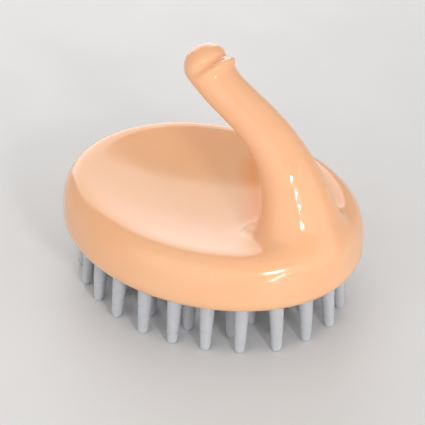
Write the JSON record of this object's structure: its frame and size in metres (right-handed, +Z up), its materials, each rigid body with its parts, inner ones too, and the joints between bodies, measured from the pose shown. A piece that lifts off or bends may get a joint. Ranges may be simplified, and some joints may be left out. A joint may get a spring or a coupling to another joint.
{
  "type": "scalp massager brush",
  "caption": "Oval palm brush with a shallow finger dish, a curved finger hook rising from one end and rings of soft massage teeth underneath.",
  "frame": {"origin": "on the table, under the middle of the oval shell", "axes": "+Z up, +X along the length towards the end where the hook grows out, +Y across"},
  "size_m": [0.09, 0.0744, 0.0722],
  "materials": {
    "shell": "high-gloss peach moulding, slightly translucent",
    "carrier": "plain moulded natural white",
    "silicone": "frosted translucent white silicone"
  },
  "bodies": {
    "root": {"handle_shell": "shell", "pad_carrier": "carrier", "tooth_pad": "silicone", "outer_teeth": "silicone", "second_ring_teeth": "silicone", "third_ring_teeth": "silicone", "centre_teeth": "silicone"}
  },
  "joints": []
}
